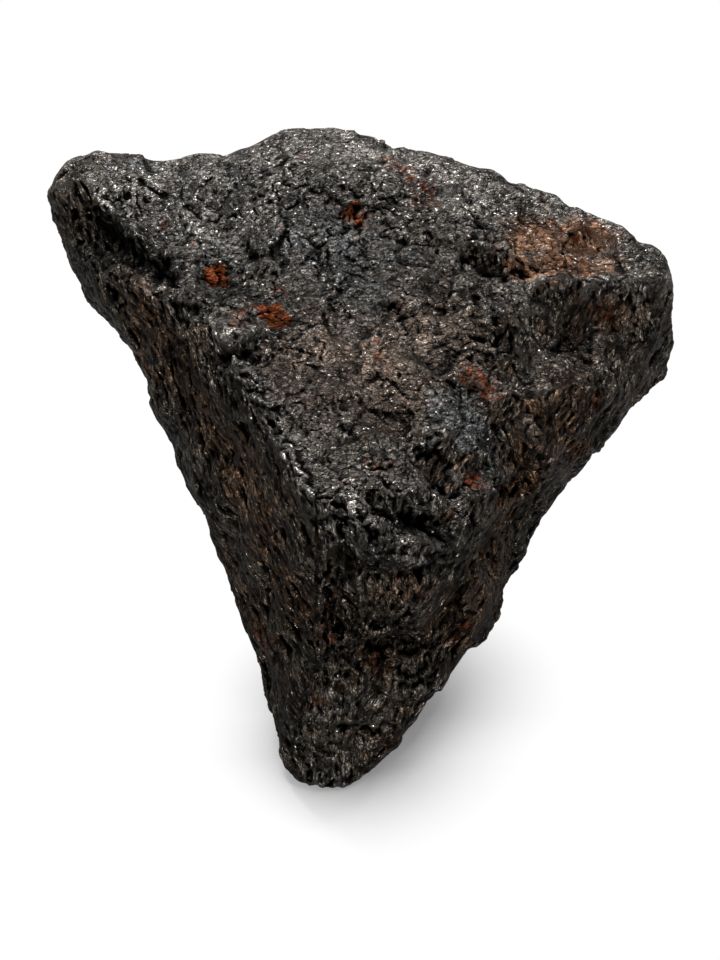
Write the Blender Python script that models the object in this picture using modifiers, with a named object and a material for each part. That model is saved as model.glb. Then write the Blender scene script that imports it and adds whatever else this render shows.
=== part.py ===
# Iron meteorite: one solid lump of nickel-iron that stands on its narrow end.
# The lump is a wedge. A broad, nearly level top tapers down two steep walls to a blunt toe at the front,
# and a heel behind the toe carries the weight. X runs right, Y runs back and Z runs up from the table.
# Every length below is in millimetres until the mesh is made.

import bmesh
import bpy
import numpy as np
from mathutils import Vector, noise

MM = 0.001
NAME = "meteorite"

# Faces of the finished lump, and the spacing of the skin that it is carved in.
TRIANGLES = 9000
VOXEL = 0.75
WORN_PASSES = 8
NORMAL_PASSES = 6

# The slab that flattens the feet is wider than the lump.
TABLE_WIDTH = 120.0
TABLE_THICKNESS = 10.0

# The corners of the block that the lump is worn down from.
CORNERS = {
    "horn_tip": (-35.5, 28.5, 43.5),
    "horn_back": (-35.0, 32.0, 46.0),
    "horn_top": (-29.6, 31.8, 47.8),
    "horn_low": (-33.9, 29.0, 36.5),
    "hump_left": (-9.3, 32.1, 50.8),
    "hump_right": (-2.7, 31.5, 51.2),
    "back_slope": (10.9, 27.0, 47.2),
    "shoulder": (24.9, 24.7, 45.6),
    "right_top": (33.8, 22.4, 41.4),
    "right_corner": (37.0, 18.8, 37.2),
    "right_low": (36.6, 18.5, 25.0),
    "right_under": (25.5, 10.3, 17.0),
    "right_ridge": (20.7, -2.2, 25.0),
    "nose": (-2.3, -21.6, 35.4),
    "nose_right": (8.5, -18.8, 28.4),
    "bulge": (15.6, -6.0, 6.5),
    "toe_right": (5.2, -21.4, 1.4),
    "toe_front": (-3.4, -24.7, -1.0),
    "toe_left": (-8.0, -22.8, 1.4),
    "heel_left": (-8.0, 19.0, -1.6),
    "heel_right": (9.0, 18.5, -1.6),
    "back_left": (-23.0, 37.0, 30.0),
    "back_hump": (-6.0, 40.0, 36.0),
    "back_foot": (1.0, 33.0, 8.0),
    "back_right": (24.0, 31.0, 28.0),
}

# Broad forms: name, lift, reach and the line that each one follows on the skin. A negative lift digs in.
BROAD = (
    ("basin behind the horn", -2.2, 9.5, [(-24.0, 24.5, 45.5), (-17.0, 19.5, 45.5)]),
    ("dip in the skyline", -1.6, 8.0, [(-22.0, 31.5, 48.5), (-14.0, 32.0, 49.5)]),
    ("hollow left wall", -2.1, 13.0, [(-27.0, 15.0, 26.0), (-21.5, 3.0, 18.5), (-15.5, -8.0, 10.5)]),
    ("left wall under its ridge", -0.8, 7.0, [(-24.0, 9.0, 34.0), (-14.0, -6.0, 30.0)]),
    ("left part of the top", -1.0, 8.0, [(-12.0, 12.0, 44.0), (-2.0, 8.0, 43.0)]),
    ("smooth middle", -0.8, 7.0, [(-1.0, 0.0, 41.0), (3.0, -8.0, 38.5)]),
    ("shelf at the right", -1.3, 6.5, [(21.0, 19.0, 44.0), (27.0, 17.5, 42.0)]),
    ("wall under the shelf", -2.8, 6.5, [(22.0, 8.5, 37.5), (29.5, 11.5, 36.0)]),
    ("waist of the right wall", -3.1, 12.0, [(31.0, 12.0, 17.0), (24.0, 3.0, 16.0), (20.0, -1.0, 14.0)]),
    ("right flank", -1.6, 7.0, [(21.0, -1.0, 24.0), (15.5, -8.5, 22.0)]),
    ("undercut beside the toe", -5.0, 8.0, [(12.0, -10.5, 2.0), (9.0, -15.5, 3.0)]),
    ("toe's left cheek", -1.6, 6.0, [(-11.0, -15.0, 8.0), (-10.0, -18.0, 5.0)]),
    ("front above the toe", -1.6, 7.0, [(-1.0, -23.0, 15.0), (3.0, -22.0, 15.5)]),
    ("scoop low on the back", -3.0, 10.0, [(-8.0, 33.0, 14.0)]),
    ("scoop high on the back", -2.8, 9.0, [(9.0, 36.0, 36.0)]),
    ("scoop on the back's left", -2.8, 9.0, [(-20.0, 35.0, 34.0)]),
    ("scoop on the back's right", -3.0, 9.5, [(20.0, 27.0, 22.0)]),
    ("scoop beside the heel", -2.6, 8.0, [(15.0, 12.0, 6.0)]),
    ("arch behind the toe", -4.5, 12.0, [(-2.0, -9.0, -1.5), (1.0, 3.0, -1.5)]),
)

# Ridges, grooves, knobs and pits of 2 mm and more, in the same form.
FINE = (
    ("horn's bright rim", 1.3, 2.4, [(-31.0, 28.0, 46.0), (-29.5, 25.5, 45.0), (-24.5, 19.5, 43.5)]),
    ("channel below the rim", -2.0, 2.8, [(-31.5, 24.0, 41.5), (-27.5, 18.5, 41.5), (-22.5, 13.5, 41.0)]),
    ("crack in the basin", -0.9, 1.8, [(-23.5, 18.5, 45.0), (-20.5, 18.0, 45.0), (-17.5, 17.5, 45.0)]),
    ("left ridge", 1.5, 2.2, [(-14.0, 1.5, 40.2), (-10.8, -4.5, 38.8), (-4.0, -18.5, 35.0)]),
    ("notch in the left ridge", -1.6, 1.9, [(-10.0, -8.5, 37.5)]),
    ("knob over the left wall", 2.0, 3.0, [(-15.2, 4.2, 40.8), (-12.5, 3.2, 41.0)]),
    ("hole under the knob", -2.2, 2.5, [(-15.5, 1.8, 38.6), (-12.6, 0.4, 39.4)]),
    ("small knob", 1.2, 2.3, [(-18.8, 9.6, 41.8)]),
    ("rusty pit by the small knob", -1.2, 2.2, [(-16.2, 13.0, 43.4)]),
    ("second rusty pit", -1.2, 2.4, [(-10.0, 8.5, 43.0)]),
    ("third rusty pit", -1.1, 2.2, [(-1.0, 19.0, 47.0)]),
    ("front crease", -2.6, 2.4, [(-2.0, -20.0, 34.5), (-1.9, -22.0, 30.0), (-2.8, -22.6, 21.0)]),
    ("nose ridge", 1.2, 2.6, [(-0.4, -20.5, 34.6), (1.4, -21.0, 31.5), (5.0, -20.0, 29.5)]),
    ("slot above the nose", -1.9, 2.1, [(0.8, -18.4, 34.6), (3.6, -18.0, 33.0), (8.8, -16.6, 30.6)]),
    ("chunk over the slot", 1.4, 2.0, [(3.2, -15.6, 34.6), (6.4, -15.0, 33.8)]),
    ("chunk beside the slot", 1.3, 1.7, [(8.6, -14.6, 32.8)]),
    ("undercut below the nose", -1.5, 3.2, [(4.2, -20.6, 26.2), (8.4, -18.6, 26.6)]),
    ("square block", 2.1, 2.5, [(7.4, -9.8, 36.2), (8.2, -9.2, 36.2)]),
    ("small dark ledge", -1.1, 2.0, [(1.6, -12.6, 36.4)]),
    ("dark recess by the shelf", -2.2, 2.8, [(14.6, 14.0, 43.4), (18.0, 13.4, 42.6)]),
    ("rim of the shelf", 1.5, 2.0, [(18.5, 12.8, 42.4), (24.0, 13.8, 40.8), (34.0, 18.4, 38.4)]),
    ("pit on the shelf", -1.4, 2.0, [(25.2, 19.4, 42.2)]),
    ("knob under the recess", 1.4, 2.1, [(14.6, 6.8, 41.0)]),
    ("ring knob", 0.9, 1.9, [(11.6, 10.2, 42.6)]),
    ("ridge down the right wall", 1.5, 3.0, [(19.8, 0.5, 35.0), (19.4, -2.6, 31.0), (19.2, -3.6, 27.0)]),
    ("holes in the right flank", -2.0, 2.4, [(15.2, -9.2, 28.6), (17.8, -6.4, 28.2)]),
    ("chip on the right flank", 1.5, 2.2, [(19.8, -3.4, 26.0), (20.4, -2.8, 23.6)]),
    ("hollow above the toe", -1.5, 3.0, [(1.5, -22.0, 17.0), (5.6, -20.2, 16.0)]),
    ("ridge above the toe", 1.4, 2.2, [(10.4, -14.4, 12.6), (7.4, -18.0, 11.2), (4.4, -20.2, 11.0)]),
    ("ridge down to the toe", 1.2, 2.2, [(7.6, -17.6, 9.6), (4.6, -20.4, 5.8)]),
    ("hollow beside the toe", -1.6, 2.4, [(0.0, -23.4, 6.2)]),
    ("notch below the bulge", -1.8, 3.0, [(11.4, -12.6, 9.6)]),
    ("hole in the left wall", -1.7, 2.3, [(-21.8, 8.6, 36.8)]),
    ("upper hole in the left wall", -1.6, 2.2, [(-28.0, 15.5, 38.0)]),
    ("long hole in the left wall", -1.7, 2.2, [(-21.5, 3.5, 32.0), (-20.3, 1.5, 29.5)]),
    ("hole low in the left wall", -1.5, 2.4, [(-14.0, -9.0, 24.5)]),
    ("lowest hole in the left wall", -1.5, 2.4, [(-10.8, -13.8, 20.0)]),
    ("step across the middle", -1.0, 1.9, [(-1.0, 12.5, 44.8), (6.5, 9.0, 43.2), (12.0, 5.5, 41.6)]),
    ("step behind it", -0.9, 1.9, [(2.5, 17.0, 46.0), (10.0, 14.5, 44.6), (13.0, 15.0, 44.2)]),
)

# Uneven wear over the whole lump: how wide and how high its swellings and its thumbprints are.
SWELL_SIZE = 11.0
SWELL_LIFT = 1.4
SWELL_OCTAVES = 2
PRINT_SIZE = 5.8
PRINT_RIM_LIFT = 0.58
PRINT_DEPTH = 1.47

# Thumbprints aren't even cells: their pattern is bent by a finer unevenness, read at three places.
BEND_SIZE = 3.6
BEND = 0.6
BEND_PLACES = (Vector((0.0, 7.3, 2.9)), Vector((5.1, 0.0, 8.7)), Vector((3.7, 9.1, 0.0)))

# The iron: dark, half-metallic, with a worn sheen.
IRON_COLOUR = (0.052, 0.045, 0.038, 1.0)
IRON_METALLIC = 0.7
IRON_ROUGHNESS = 0.45


def clear_scene():
    for old in list(bpy.data.objects):
        bpy.data.objects.remove(old, do_unlink=True)


def link(mesh, name, collection):
    obj = bpy.data.objects.new(name, mesh)
    collection.objects.link(obj)
    return obj


def block(collection):
    """The convex block between the corners, as an even skin of small faces."""
    bm = bmesh.new()
    for place in CORNERS.values():
        bm.verts.new(Vector(place) * MM)
    hull = bmesh.ops.convex_hull(bm, input=bm.verts)
    inside = [v for v in hull["geom_interior"] if isinstance(v, bmesh.types.BMVert)]
    bmesh.ops.delete(bm, geom=inside, context="VERTS")
    bmesh.ops.recalc_face_normals(bm, faces=bm.faces)
    mesh = bpy.data.meshes.new("block")
    bm.to_mesh(mesh)
    bm.free()
    obj = link(mesh, "block", collection)
    skin = obj.modifiers.new("even skin", "REMESH")
    skin.mode = "VOXEL"
    skin.voxel_size = VOXEL * MM
    worn = obj.modifiers.new("worn edges", "SMOOTH")
    worn.factor = 0.5
    worn.iterations = WORN_PASSES
    graph = bpy.context.evaluated_depsgraph_get()
    even = bpy.data.meshes.new_from_object(obj.evaluated_get(graph))
    bpy.data.objects.remove(obj, do_unlink=True)
    return even


def read_points(mesh):
    points = np.empty(len(mesh.vertices) * 3)
    mesh.vertices.foreach_get("co", points)
    return points.reshape(-1, 3) / MM


def read_normals(mesh):
    """The skin's normals, averaged over their neighbours so that a form lifts evenly."""
    normals = np.empty(len(mesh.vertices) * 3)
    mesh.vertices.foreach_get("normal", normals)
    normals = normals.reshape(-1, 3)
    ends = np.empty(len(mesh.edges) * 2, dtype=int)
    mesh.edges.foreach_get("vertices", ends)
    first, second = ends.reshape(-1, 2).T
    for _ in range(NORMAL_PASSES):
        total = normals.copy()
        np.add.at(total, first, normals[second])
        np.add.at(total, second, normals[first])
        normals = total / np.linalg.norm(total, axis=1)[:, None]
    return normals


def distance_to_line(points, line):
    """How far each point is from a line through the given places, which may be only one."""
    line = np.array(line)
    best = np.linalg.norm(points - line[0], axis=1)
    for start, end in zip(line[:-1], line[1:]):
        run = end - start
        share = np.clip((points - start) @ run / (run @ run), 0.0, 1.0)
        gap = np.linalg.norm(points - start - share[:, None] * run, axis=1)
        best = np.minimum(best, gap)
    return best


def form(points, lift, reach, line):
    """The rise of one form: full on its line, none at its reach, and round between them."""
    share = np.clip(distance_to_line(points, line) / reach, 0.0, 1.0)
    return lift * (1.0 - share ** 2) ** 2


def swelling(point):
    return SWELL_LIFT * noise.fractal(point / SWELL_SIZE, 1.0, 2.0, SWELL_OCTAVES)


def thumbprint(point):
    """Shallow prints that meet in raised rims, as on iron that melted in flight."""
    bend = BEND * Vector([noise.noise(point / BEND_SIZE + place) for place in BEND_PLACES])
    nearest, second = noise.voronoi(point / PRINT_SIZE + bend)[0][:2]
    return PRINT_RIM_LIFT - PRINT_DEPTH * (second - nearest)


def carve(mesh):
    points = read_points(mesh)
    normals = read_normals(mesh)
    rise = np.zeros(len(points))
    for _, lift, reach, line in BROAD + FINE:
        rise += form(points, lift, reach, line)
    for index, point in enumerate(points):
        place = Vector(point)
        rise[index] += swelling(place) + thumbprint(place)
    carved = points + normals * rise[:, None]
    mesh.vertices.foreach_set("co", (carved * MM).ravel())
    mesh.update()


def table(collection):
    """A slab under the table's surface, which cuts the toe and the heel off flat."""
    bpy.ops.mesh.primitive_cube_add(size=1.0, location=(0.0, 0.0, -TABLE_THICKNESS / 2 * MM))
    slab = bpy.context.object
    slab.name = "table"
    slab.dimensions = (TABLE_WIDTH * MM, TABLE_WIDTH * MM, TABLE_THICKNESS * MM)
    slab.hide_render = True
    slab.display_type = "WIRE"
    for home in list(slab.users_collection):
        home.objects.unlink(slab)
    collection.objects.link(slab)
    return slab


def finish(mesh, parts, cutters):
    """The carved skin with fewer faces, flat where it stands on the table."""
    obj = link(mesh, "carved", parts)
    trim = obj.modifiers.new("fewer faces", "DECIMATE")
    trim.ratio = TRIANGLES / (2 * len(mesh.polygons))
    feet = obj.modifiers.new("flat feet", "BOOLEAN")
    feet.operation = "DIFFERENCE"
    feet.solver = "EXACT"
    feet.object = table(cutters)
    bpy.context.view_layer.update()
    graph = bpy.context.evaluated_depsgraph_get()
    lump = bpy.data.meshes.new_from_object(obj.evaluated_get(graph))
    bpy.data.objects.remove(obj, do_unlink=True)
    return lump


def stand_at_origin(mesh):
    """Puts the origin on the table, under the middle of the lump's box."""
    points = read_points(mesh)
    low = points.min(axis=0)
    high = points.max(axis=0)
    move = np.array([-(low[0] + high[0]) / 2, -(low[1] + high[1]) / 2, -low[2]])
    mesh.vertices.foreach_set("co", ((points + move) * MM).ravel())
    mesh.update()
    print("lump is", (high - low).round(2), "mm, moved by mm", move.round(3))


def iron():
    material = bpy.data.materials.new("dark iron")
    material.use_nodes = True
    surface = material.node_tree.nodes["Principled BSDF"]
    surface.inputs["Base Color"].default_value = IRON_COLOUR
    surface.inputs["Metallic"].default_value = IRON_METALLIC
    surface.inputs["Roughness"].default_value = IRON_ROUGHNESS
    material.diffuse_color = IRON_COLOUR
    return material


def main():
    clear_scene()
    parts = bpy.data.collections.new("iron_meteorite")
    cutters = bpy.data.collections.new("cutters")
    bpy.context.scene.collection.children.link(parts)
    bpy.context.scene.collection.children.link(cutters)
    carved = block(parts)
    carve(carved)
    lump = finish(carved, parts, cutters)
    stand_at_origin(lump)
    lump.name = NAME
    lump.shade_smooth()
    lump.materials.clear()
    lump.materials.append(iron())
    link(lump, NAME, parts)


main()
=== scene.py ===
# Iron meteorite, standing on its toe and heel on a pale floor.
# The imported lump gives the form. Here it gets its fine skin: rims, cracks, knobs and pits that are placed
# by what the photograph shows, and grain, strands and rust that are grown over the whole surface.

import math

import bmesh
import bpy
import numpy as np
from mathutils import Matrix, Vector, noise
from mathutils.bvhtree import BVHTree


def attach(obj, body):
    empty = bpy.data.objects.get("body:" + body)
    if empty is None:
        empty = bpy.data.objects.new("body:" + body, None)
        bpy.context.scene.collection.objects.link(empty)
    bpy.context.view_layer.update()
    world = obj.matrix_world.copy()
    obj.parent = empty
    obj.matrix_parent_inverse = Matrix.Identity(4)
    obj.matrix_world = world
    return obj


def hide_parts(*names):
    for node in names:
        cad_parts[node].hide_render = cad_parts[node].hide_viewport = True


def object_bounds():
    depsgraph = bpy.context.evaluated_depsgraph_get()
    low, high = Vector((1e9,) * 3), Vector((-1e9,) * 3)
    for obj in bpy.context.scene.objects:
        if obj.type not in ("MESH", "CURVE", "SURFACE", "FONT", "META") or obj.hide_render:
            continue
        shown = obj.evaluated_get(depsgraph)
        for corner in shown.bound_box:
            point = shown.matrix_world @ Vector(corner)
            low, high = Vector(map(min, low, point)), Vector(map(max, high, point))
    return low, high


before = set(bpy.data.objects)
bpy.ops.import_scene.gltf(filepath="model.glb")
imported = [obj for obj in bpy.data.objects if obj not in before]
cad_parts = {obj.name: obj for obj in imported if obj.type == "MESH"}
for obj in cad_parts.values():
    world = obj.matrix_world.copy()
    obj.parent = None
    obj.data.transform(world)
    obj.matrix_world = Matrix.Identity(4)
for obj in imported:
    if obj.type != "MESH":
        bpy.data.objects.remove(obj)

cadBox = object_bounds()
mm = 0.001

# Camera. Places and distances are in millimetres, and the angle is in degrees.
view = {
    "aim": (0.0, -7.2, 24.0),
    "elevation": 38.0,
    "distance": 330.0,
    "lens": 110.0,
    "sensor": 36.0,
    "nearest": 10.0,
    "picture": (720, 960),   # the pixels that the forms and tints below are given in
}

# The lump's fine skin. Sizes are in millimetres.
skin = {
    "weld": 0.001,
    "roundings": 1,          # subdivision before the even skin, to lose the flat faces
    "voxel": 0.25,
    "quickVoxel": 0.45,
    "smoothing": 0.5,
    "smoothings": 8,
    "normalPasses": 10,      # how widely each measure is averaged over the skin
    "convexPasses": 40,
    "hollowPasses": 30,
    "crevicePasses": 6,
    "mostFaces": 196000,     # triangles that the finished skin may have
    "wallStart": 0.72,       # upward part of the normal where the top ends
    "wallEnd": 0.62,         # and where the walls begin
    "calming": 0.75,         # how much of the relief goes where the surface is calm
    "paintReach": 1.6,       # how much wider than its reach a tint fades out
}

# Relief that covers everything. Sizes, lifts and depths are in millimetres, and crisp sets how sharply one
# facet ends. The shares on the top and on the walls are multiplied by the roughness times gain, but by no
# less than least. Steady is the part that even the smoothest patches keep.
relief = {
    "blocks": {"size": 4.4, "lift": 0.55, "crisp": 14.0, "crack": 0.20,
               "seed": 1, "onWall": 0.5, "steady": 0.4},
    "plates": {"size": 1.8, "lift": 0.24, "crisp": 22.0, "crack": 0.20,
               "seed": 11, "onWall": 0.4, "steady": 0.0},
    "hackles": {"size": 0.72, "lift": 0.085, "crisp": 16.0, "crack": 0.05,
                "seed": 21, "onWall": 0.6, "steady": 0.0},
    "facetTilt": 1.3,
    "facetBorder": (0.25, 0.5),
    "strands": {"size": 0.70, "lift": 0.20, "level": 0.5, "wide": 1.7, "fine": 0.8,
                "finer": 2.1, "finePlace": (5.0, 0.0, 0.0),
                "onTop": 0.0, "onWall": 1.0, "gain": 1.4, "least": 0.4},
    "gaps": {"size": 1.25, "depth": 0.55, "place": 9.0, "limits": (0.28, 0.50),
             "onTop": 0.0, "onWall": 1.0, "gain": 1.3, "least": 0.15},
    "cracks": {"size": 2.3, "width": 0.07, "depth": 0.38,
               "patchSize": 4.3, "patchPlace": 20.0, "patches": (-0.05, 0.25),
               "onTop": 1.0, "onWall": 0.3, "gain": 1.5, "least": 0.0},
    "pins": {"size": 2.0, "depth": 0.32, "share": 0.5, "narrowest": 0.14, "wider": 0.22,
             "seed": 40, "onTop": 0.15, "onWall": 1.0, "gain": 1.3, "least": 0.35},
    "roughSize": 5.5, "roughPatches": (-0.25, 0.35), "roughLeast": 0.45, "roughMore": 0.75,
    "sideEdges": {"size": 3.0, "amount": 0.25},
    "bent": (1.5, 0.5),      # size and amount of the wobble in blocks and pins
    "crinkled": (0.8, 0.3),  # in plates, hackles and cracks
    "ragged": (1.1, 0.8),    # in placed forms and tints
}

# Where the noise for each axis of a wobble is read, and the numbers that stir up the repeatable randoms.
noisePlaces = ((0.0, 7.3, 2.9), (5.1, 0.0, 8.7), (3.7, 9.1, 0.0))
mixing = {
    "axes": (374761393, 668265263, 2147483647),
    "seed": 974634777,
    "stir": 1274126177,
    "bits": 0xFFFFFFFF,
}

# Main runs of the strands on each side, as directions down the wall. On the top they are short.
strandRuns = {
    "top": {"facing": (0.0, -0.1, 1.0), "along": (1.0, 0.25, 0.0), "length": 1.6},
    "left": {"facing": (-0.82, -0.57, 0.05), "along": (0.38, -0.75, -0.54), "length": 3.4},
    "right": {"facing": (0.81, -0.58, 0.0), "along": (-0.52, -0.63, -0.58), "length": 2.8},
    "front": {"facing": (0.1, -0.99, 0.1), "along": (0.05, -0.25, -0.97), "length": 2.2},
    "back": {"facing": (0.0, 0.9, -0.3), "along": (0.1, -0.35, -0.93), "length": 2.8},
    "under": {"facing": (0.0, -0.1, -1.0), "along": (0.0, 0.9, 0.3), "length": 2.5},
}

# Forms seen in the photograph: name, lift and reach in millimetres, and the pixels that each runs through.
forms = (
    ("horn rim", 0.6, 1.2, [(97, 188), (103, 205), (120, 220), (141, 239)]),
    ("horn channel", -0.9, 1.9, [(88, 212), (112, 236), (148, 262), (168, 277)]),
    ("basin wrinkle low", -0.5, 0.6, [(120, 198), (132, 194), (146, 199)]),
    ("basin wrinkle high", -0.5, 0.6, [(130, 180), (148, 184), (165, 197)]),
    ("basin crack", -0.4, 0.45, [(186, 205), (200, 219), (235, 218)]),
    ("left ridge upper", 0.8, 0.7, [(233, 365), (245, 381), (262, 404)]),
    ("left ridge gap", -0.8, 0.8, [(268, 420), (276, 431)]),
    ("left ridge lower", 0.8, 0.8, [(284, 443), (296, 470), (311, 495), (338, 533)]),
    ("knob crown", 0.9, 1.9, [(222, 338), (246, 341)]),
    ("knob shadow", -1.1, 0.7, [(222, 358), (240, 361), (258, 357)]),
    ("small knob", 0.5, 1.0, [(190, 300), (200, 300)]),
    ("upper wall hole", -1.0, 1.1, [(166, 332), (184, 348)]),
    ("horn hole", -0.8, 0.9, [(106, 287), (115, 299)]),
    ("horn hole two", -0.6, 0.7, [(80, 245)]),
    ("horn hole three", -0.6, 0.7, [(97, 280)]),
    ("wall hole four", -0.7, 0.9, [(165, 415), (176, 430)]),
    ("wall hole five", -0.6, 0.8, [(200, 480)]),
    ("wall scoop", -0.7, 1.3, [(225, 536), (236, 545)]),
    ("wall scoop low", -0.7, 1.2, [(262, 571), (271, 590)]),
    ("crease", -0.7, 0.6, [(338, 506), (343, 530), (352, 560)]),
    ("slit upper", -1.0, 0.5, [(328, 565), (332, 580)]),
    ("slit lower", -1.0, 0.5, [(328, 588), (335, 630)]),
    ("nose rim", 0.8, 0.7, [(350, 512), (358, 530), (368, 546), (385, 558), (405, 559), (440, 560)]),
    ("nose slot left", -1.1, 0.6, [(367, 506), (378, 518), (392, 530)]),
    ("nose slot right", -1.3, 0.7, [(400, 517), (420, 522), (444, 538)]),
    ("nose chunk", 0.6, 0.9, [(383, 505), (394, 515)]),
    ("bright chunk", 0.6, 0.8, [(428, 508), (438, 516)]),
    ("crystal edge", 0.45, 0.5, [(395, 497), (404, 488), (415, 492)]),
    ("small ledge", -0.8, 0.7, [(365, 466), (385, 467)]),
    ("block top", 0.9, 1.3, [(418, 434), (441, 434)]),
    ("block shadow", -1.0, 0.8, [(420, 456), (442, 454)]),
    ("middle crack one", -0.35, 0.45, [(350, 272), (385, 285), (415, 300)]),
    ("middle crack two", -0.30, 0.40, [(415, 300), (440, 310), (470, 330)]),
    ("upper crack", -0.40, 0.5, [(380, 235), (430, 248), (450, 262), (480, 258)]),
    ("hump crack", -0.4, 0.5, [(340, 186), (360, 195)]),
    ("brown pit", -0.4, 0.5, [(306, 362), (319, 367)]),
    ("brown pit two", -0.5, 0.5, [(305, 390)]),
    ("ring knob", 0.5, 1.0, [(465, 293)]),
    ("round knob", 0.6, 1.0, [(482, 322), (496, 328)]),
    ("round knob shadow", -1.0, 0.8, [(474, 336), (488, 343), (500, 340)]),
    ("shelf recess", -0.15, 1.0, [(488, 272), (508, 268)]),
    ("shelf pit", -0.35, 0.45, [(585, 236)]),
    ("shelf crack", -0.25, 0.4, [(570, 243), (600, 247)]),
    ("shelf rim", 0.25, 1.2, [(520, 279), (550, 284), (580, 284), (620, 287), (672, 285)]),
    ("shelf rim pit", -0.6, 0.5, [(620, 296)]),
    ("wall ridge", 0.5, 1.0, [(532, 402), (537, 440), (535, 488)]),
    ("flank hole", -0.9, 0.9, [(497, 487), (512, 492), (529, 498)]),
    ("flank chip", 0.5, 0.9, [(540, 492), (540, 514)]),
    ("toe ridge high", 0.5, 0.6, [(455, 640), (430, 670), (400, 680)]),
    ("toe ridge low", 0.5, 0.7, [(440, 645), (420, 690), (400, 720)]),
    ("toe hollow", -0.6, 0.9, [(366, 648), (390, 652), (424, 648)]),
    ("toe recess", -0.7, 1.0, [(342, 728), (374, 735)]),
    ("toe seam", 0.4, 0.6, [(311, 750), (310, 780)]),
    ("toe pit", -0.5, 0.5, [(320, 775)]),
    ("toe pit two", -0.5, 0.5, [(335, 769)]),
    ("rust pit one", -0.35, 0.6, [(212, 282)]),
    ("rust pit two", 0.15, 1.0, [(268, 314)]),
    ("rust pit three", -0.5, 1.0, [(356, 212)]),
    ("skyline ledge", 0.5, 0.9, [(502, 193), (538, 199)]),
)

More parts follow.
